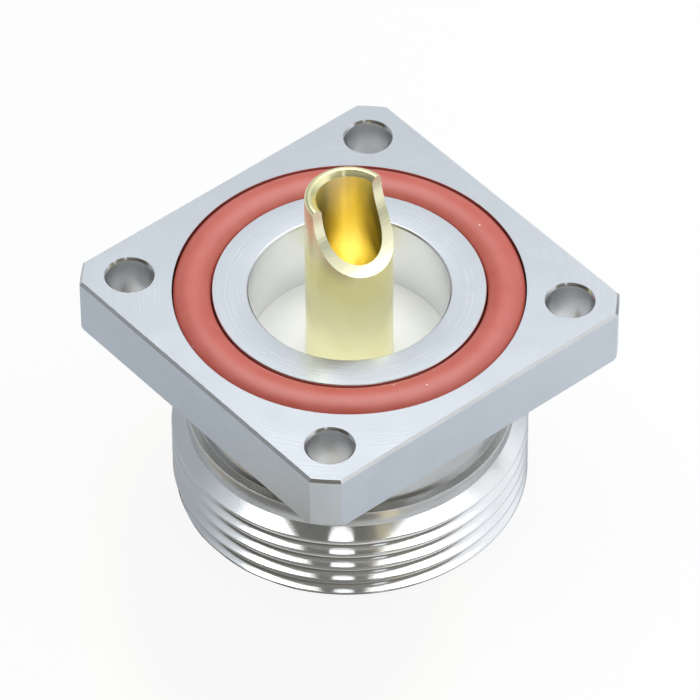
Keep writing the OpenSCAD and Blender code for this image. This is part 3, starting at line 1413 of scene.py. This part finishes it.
@dataclass(frozen=True)
class Ground:
    """The ground under the object, in metres.

    The camera sees it nearly white. Light and reflections meet its painted tones: painted shade to one side,
    a dark patch of painted shadow with a painted warm ring of light in front of the object, and a small warm
    spot of painted light that glows only in reflections.
    """

    z: float
    half: float = 3.0
    right: Way = (0.767, -0.641, 0.0)
    near: Way = (-0.641, -0.767, 0.0)
    # Painted shade: the ground is darker to the left of the object, where shade falls
    shade: Colour = (0.56, 0.58, 0.60)
    pale: Colour = (0.86, 0.87, 0.88)
    painted_shade_edge: Span = (-0.05, 0.05)
    # Painted shadow: a dark patch on the ground in front of the object, seen mostly in reflections
    painted_shadow_pool: Colour = (0.32, 0.32, 0.305)
    painted_shadow_pool_edge: Span = (0.014, 0.019)
    painted_shadow_pool_place: tuple[float, float] = (-0.006, 0.012)
    painted_shadow_pool_shape: tuple[float, float] = (1.3, 0.8)
    # Painted light: a warm lit ring on the ground round the painted shadow
    ring: Colour = (0.80, 0.70, 0.52)
    painted_light_ring_edge: Span = (0.018, 0.023)
    # Painted light: a warm spot of light on the ground that glows in reflections
    spot: Colour = (1.0, 0.88, 0.62)
    painted_light_spot_edge: Span = (0.0014, 0.0024)
    painted_light_spot_place: tuple[float, float] = (0.007, 0.0203)
    seen: float = 0.92
    mirrored: float = 0.30
    mirrored_edge: Span = (0.028, 0.08)

    def _tone(self, sheet: Sheet, across: Field, ahead: Field) -> Field:
        """Colours the ground with painted shade, painted shadow and a painted ring of light.

        Args:
            sheet: The tree of its material.
            across: Distance to the right.
            ahead: Distance towards the camera.

        Returns:
            The colour that light and reflections meet.
        """
        wide = (across - self.painted_shadow_pool_place[0]) * self.painted_shadow_pool_shape[0]
        deep = (ahead - self.painted_shadow_pool_place[1]) * self.painted_shadow_pool_shape[1]
        painted_shadow_pool = (wide * wide + deep * deep).sqrt()
        tone = sheet.mix(across.ramp(*self.painted_shade_edge), self.shade, self.pale)
        tone = sheet.mix(painted_shadow_pool.ramp(*self.painted_light_ring_edge), self.ring, tone)
        return sheet.mix(painted_shadow_pool.ramp(*self.painted_shadow_pool_edge), self.painted_shadow_pool, tone)

    def build(self) -> None:
        """Lays the ground."""
        s, z = self.half, self.z
        mesh = bpy.data.meshes.new("floor")
        mesh.from_pydata([(-s, -s, z), (s, -s, z), (s, s, z), (-s, s, z)], [], [(0, 1, 2, 3)])
        material = bpy.data.materials.new("pale_floor")
        material.use_nodes = True
        sheet = Sheet(material.node_tree)
        camera, sent = sheet.rays()
        place = sheet.node("ShaderNodeTexCoord", {}, {}, "Object")
        across = sheet.along(place, self.right)
        ahead = sheet.along(place, self.near)
        paper = sheet.node("ShaderNodeBsdfDiffuse", {}, {"Color": self._tone(sheet, across, ahead)})
        # Painted light: the warm spot glows, but only for glossy and clear rays
        aside = across - self.painted_light_spot_place[0]
        before = ahead - self.painted_light_spot_place[1]
        painted_light_spot = sent * (1.0 - (aside * aside + before * before).sqrt().ramp(*self.painted_light_spot_edge))
        glow = sheet.mix(painted_light_spot, WHITE, self.spot)
        white = sheet.node("ShaderNodeEmission", {}, {"Color": glow, "Strength": 1.0})
        span = sheet.node("ShaderNodeVectorMath", {"operation": "LENGTH"}, {0: place}, 1)
        far = span.ramp(*self.mirrored_edge)
        lift = (self.seen * camera + self.mirrored * sent * far).most(painted_light_spot)
        both = sheet.node("ShaderNodeMixShader", {}, {0: lift, 1: paper, 2: white})
        sheet.node("ShaderNodeOutputMaterial", {}, {"Surface": both})
        obj = piece(mesh, "floor", [material])


@dataclass
class Studio:
    """The white tent, the lamp, the ground and the camera."""

    ground_z: float = -20.62
    azimuth: float = -39.88
    elevation: float = 44.966
    roll: float = 0.283
    distance: float = 534.637
    offset: tuple[float, float] = (0.055, 4.945)
    focal: float = 6744.13
    frame: int = 700
    sensor: float = 36.0
    clip: Span = (0.01, 20.0)
    tent: Way = (0.172, -0.339, 1.0)
    tent_edge: Span = (0.36, 0.74)
    roof: float = 1.0
    roof_tint: Colour = (0.95, 0.975, 1.0)
    wall: float = 0.45
    wall_tint: Colour = (0.88, 0.94, 1.0)
    front: float = 0.24
    front_tint: Colour = (1.0, 0.95, 0.82)
    front_way: Way = (-0.766, -0.643, 0.0)
    front_edge: Span = (0.16, 0.36)
    strip_turn: float = 247.4
    strip_half: float = 0.055
    strip_rise: Span = (0.5, 0.8)

    def camera(self) -> None:
        """Sets up the camera at the photograph's viewing angle; focal and frame are in its pixels."""
        a, e, r = (math.radians(v) for v in (self.azimuth, self.elevation, self.roll))
        back = Vector((math.sin(a) * math.cos(e), -math.cos(a) * math.cos(e), math.sin(e)))
        right = (-back).cross(Vector((0.0, 0.0, 1.0))).normalized()
        down = (-back).cross(right)
        across = math.cos(r) * right + math.sin(r) * down
        along = -math.sin(r) * right + math.cos(r) * down
        place = across * self.offset[0] + along * self.offset[1] + back * self.distance
        data = bpy.data.cameras.new("camera")
        data.sensor_width = self.sensor
        data.lens = self.focal / self.frame * self.sensor
        data.clip_start, data.clip_end = self.clip
        obj = bpy.data.objects.new("camera", data)
        turn = Matrix((across, -along, back)).transposed().to_4x4()
        obj.matrix_world = Matrix.Translation(place * MM) @ turn
        bpy.context.scene.collection.objects.link(obj)
        bpy.context.scene.camera = obj

    def _strip(self, sheet: Sheet, way: Field) -> Field:
        """A narrow bright strip beside the camera.

        Args:
            sheet: The world's tree.
            way: The direction that is looked in.

        Returns:
            1 in the strip, else 0.
        """
        a = math.radians(self.strip_turn)
        side = sheet.along(way, (-math.sin(a), math.cos(a), 0.0))
        ahead = sheet.along(way, (math.cos(a), math.sin(a), 0.0))
        up = sheet.node("ShaderNodeSeparateXYZ", {}, {0: way}).other(2)
        low, high = self.strip_rise
        return (abs(side) < self.strip_half) * (ahead > 0.0) * (up > low) * (up < high)

    def world(self) -> None:
        """A white tent, bright above and to one side and open in front; the camera sees it plain white."""
        world = bpy.data.worlds.new("studio")
        world.use_nodes = True
        bpy.context.scene.world = world
        sheet = Sheet(world.node_tree)
        camera, _ = sheet.rays()
        way = sheet.node("ShaderNodeTexCoord", {}, {}, "Generated")
        lit = sheet.along(way, self.tent).ramp(*self.tent_edge)
        dark = sheet.along(way, self.front_way).ramp(*self.front_edge)
        level = (self.wall + (self.roof - self.wall) * lit) * (1.0 - (1.0 - self.front) * dark)
        strip = self._strip(sheet, way)
        strength = (level + (1.0 - level) * strip) * (1.0 - camera) + camera
        tint = sheet.mix(lit, self.wall_tint, self.roof_tint)
        tint = sheet.mix(dark * (1.0 - strip), tint, self.front_tint)
        colour = sheet.mix(camera, tint, WHITE)
        light = sheet.node("ShaderNodeBackground", {}, {"Color": colour, "Strength": strength})
        sheet.node("ShaderNodeOutputWorld", {}, {"Surface": light})

    def build(self) -> None:
        """Sets up everything round the object."""
        self.camera()
        self.world()
        Ground(self.ground_z * MM).build()
        Lamp(
            "overhead", (0.103, 0.087, 0.80),
            wide=1.1, deep=0.87, turn=310.0, glow=1.94, colour=(0.98, 0.99, 1.0),
        ).build()
        bpy.context.scene.view_settings.view_transform = "Standard"


def hand_over(obj: bpy.types.Object, node: str) -> None:
    """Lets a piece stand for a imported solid.

    Args:
        obj: The piece.
        node: The solid that it replaces.
    """
    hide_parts(node)
    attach(obj, "root")
    faces = sum(len(face.vertices) - 2 for face in obj.data.polygons)
    LOG.info("%s stands for %s: %d triangles", obj.name, node, faces)


def main() -> None:
    """Builds, dresses and hands over each piece, then lights the scene."""
    body = Body().build(CouplingThread(), [BODY_PLATINGS[finish].material() for finish in BodyFinish])
    hand_over(body, "body")
    seal = FlangeGasket().build(Silicone().material())
    hand_over(seal, "flange_gasket")
    bead = Insulator().build(Fluoropolymer().material())
    hand_over(bead, "insulator")
    contact = CentreContact().build(TURNED_GOLD.material(), DrilledGold().material(), CUT_GOLD.material())
    hand_over(contact, "centre_contact")
    Studio().build()


if __name__ == "__main__":
    logging.basicConfig(level=logging.INFO, format="%(name)s: %(message)s")
    main()
